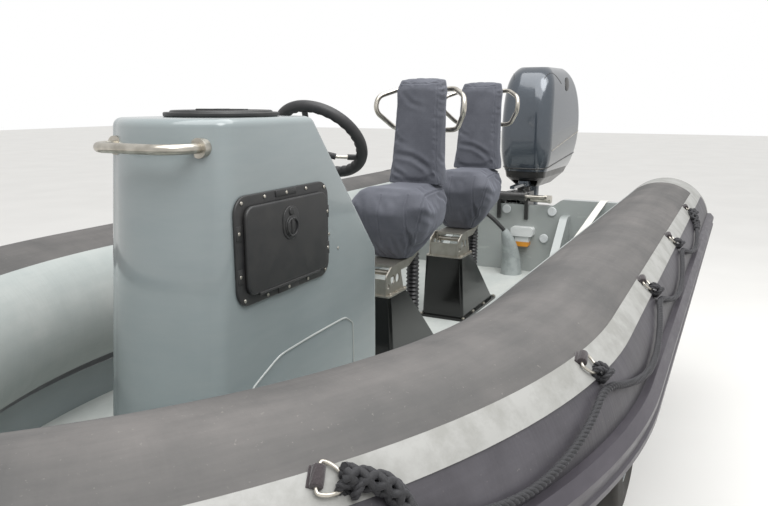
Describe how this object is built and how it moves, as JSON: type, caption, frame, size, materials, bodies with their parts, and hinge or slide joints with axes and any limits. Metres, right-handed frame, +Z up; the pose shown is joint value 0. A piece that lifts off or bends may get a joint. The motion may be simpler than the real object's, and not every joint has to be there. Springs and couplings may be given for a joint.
{
  "type": "inflatable rib boat",
  "caption": "Rigid inflatable boat with a tube collar, centre console, straddle seats and a tilting outboard, resting on a single-axle road trailer with a jockey wheel",
  "frame": {"origin": "under the middle of the whole length, on the centreline, at ground level", "axes": "+X towards the bow and the trailer's coupling, +Y to port, +Z up"},
  "size_m": [6.1093, 2.32, 2.04],
  "materials": {
    "gelcoat": "glossy moulded gelcoat, blue-grey",
    "gelcoat_light": "glossy moulded gelcoat, light grey",
    "deck_grey": "moulded deck with a fine non-slip grain",
    "tube_fabric": "coated tube fabric with welded seams",
    "tube_light": "light grey coated tube fabric",
    "strake_rubber": "moulded black rubber",
    "stainless": "polished stainless steel",
    "rope": "braided black rope",
    "black_plastic": "moulded black plastic",
    "wheel_rim": "padded rim",
    "black_paint": "glossy black coating",
    "gaiter_rubber": "ribbed rubber",
    "seat_cover": "woven cover cloth with loose folds",
    "engine_black": "satin black paint",
    "engine_blue": "metallic blue-grey paint",
    "powerhead_alloy": "cast block",
    "propeller_alloy": "black painted blades",
    "white_plastic": "white moulded caps",
    "amber_plastic": "amber face under a white top",
    "boot_vinyl": "soft grey vinyl",
    "galvanised": "hot-dip galvanised",
    "tyre": "road tyre",
    "bunk_carpet": "carpeted wood",
    "webbing": "woven strap",
    "lamp_board": "lamp board with red lenses and a blank plate"
  },
  "bodies": {
    "boat": {"axle": "galvanised", "backrests": "seat_cover", "bow_eye": "stainless", "bunks": "bunk_carpet", "cable_boot": "boot_vinyl", "collar": "tube_fabric", "collar_bands": "tube_light", "collar_ends": "tube_light", "console_rail": "stainless", "console_shell": "gelcoat", "coupling": "galvanised", "dash_panel": "black_plastic", "deck": "deck_grey", "engine_clamp": "engine_black", "grab_handles": "stainless", "hatch_frame": "black_plastic", "helm": "black_plastic", "hull": "gelcoat", "jockey_leg": "galvanised", "lamp_board": "lamp_board", "lifeline_port": "rope", "lifeline_rings": "stainless", "lifeline_starboard": "rope", "mudguards": "black_plastic", "pump_box": "amber_plastic", "rigging_hose": "gaiter_rubber", "rubbing_strake": "strake_rubber", "saddles": "seat_cover", "seat_brackets": "stainless", "seat_gaiters": "gaiter_rubber", "seat_pedestals": "black_paint", "stern_eyes": "stainless", "stern_strap": "webbing", "throttle": "black_plastic", "top_lid": "black_plastic", "trailer_crossbeams": "galvanised", "trailer_frame": "galvanised", "trailer_rubbers": "strake_rubber", "transom": "gelcoat_light", "transom_caps": "white_plastic", "winch_post": "galvanised", "winch_strap": "webbing"},
    "engine_tilt": {"engine_swivel": "engine_black", "steer_rod": "stainless"},
    "engine_steer": {"engine_leg": "engine_blue", "engine_pan": "engine_black", "engine_cowl": "engine_blue", "powerhead": "powerhead_alloy", "gearcase": "engine_blue"},
    "propeller": {"propeller": "propeller_alloy"},
    "steer_cylinder": {"steer_cylinder": "engine_black"},
    "tilt_rod": {"tilt_rod": "stainless"},
    "steering_wheel": {"steering_wheel": "wheel_rim"},
    "hatch_lid": {"hatch_lid": "black_plastic"},
    "wheel_port": {"rim_port": "galvanised", "tyre_port": "tyre"},
    "wheel_starboard": {"rim_starboard": "galvanised", "tyre_starboard": "tyre"},
    "jockey_fork": {"jockey_fork": "galvanised"},
    "jockey_wheel": {"jockey_wheel": "strake_rubber"}
  },
  "joints": [
    {"name": "engine_tilt", "type": "hinge", "parent": "boat", "child": "engine_tilt", "pos_m": [-2.1925, 0, 1.22], "axis": [0, 1, 0], "range_deg": [0, 60]},
    {"name": "engine_steer", "type": "hinge", "parent": "engine_tilt", "child": "engine_steer", "pos_m": [-2.4025, 0, 1.2], "axis": [0, 0, 1], "range_deg": [-30, 30]},
    {"name": "propeller_spin", "type": "hinge", "parent": "engine_steer", "child": "propeller", "pos_m": [-2.7445, 0, 0.31], "axis": [1, 0, 0], "continuous": true},
    {"name": "steer_cylinder_slide", "type": "slide", "parent": "engine_tilt", "child": "steer_cylinder", "axis": [0, 1, 0], "range_m": [-0.102, 0.102]},
    {"name": "tilt_rod_slide", "type": "slide", "parent": "boat", "child": "tilt_rod", "axis": [-0.1146, 0, 0.9934], "range_m": [0, 0.166]},
    {"name": "helm_turn", "type": "hinge", "parent": "boat", "child": "steering_wheel", "pos_m": [0.1449, 0, 1.69604], "axis": [-0.7591, 0, 0.6509], "range_deg": [-545, 545]},
    {"name": "hatch_hinge", "type": "hinge", "parent": "boat", "child": "hatch_lid", "pos_m": [0.6475, 0.2086, 1.3435], "axis": [-1, 0, 0], "range_deg": [0, 110]},
    {"name": "wheel_port_spin", "type": "hinge", "parent": "boat", "child": "wheel_port", "pos_m": [-0.9325, 0.872, 0.29], "axis": [0, 1, 0], "continuous": true},
    {"name": "wheel_starboard_spin", "type": "hinge", "parent": "boat", "child": "wheel_starboard", "pos_m": [-0.9325, -0.872, 0.29], "axis": [0, 1, 0], "continuous": true},
    {"name": "jockey_swivel", "type": "hinge", "parent": "boat", "child": "jockey_fork", "pos_m": [2.5675, 0.074, 0.3], "axis": [0, 0, 1], "continuous": true},
    {"name": "jockey_spin", "type": "hinge", "parent": "jockey_fork", "child": "jockey_wheel", "pos_m": [2.5255, 0.074, 0.1], "axis": [0, 1, 0], "continuous": true}
  ],
  "couplings": [
    {"joint": "steer_cylinder_slide", "follows": "engine_steer", "m_per_rad": 0.19},
    {"joint": "helm_turn", "follows": "engine_steer", "ratio": -18},
    {"joint": "tilt_rod_slide", "follows": "engine_tilt", "m_per_rad": 0.1566}
  ]
}
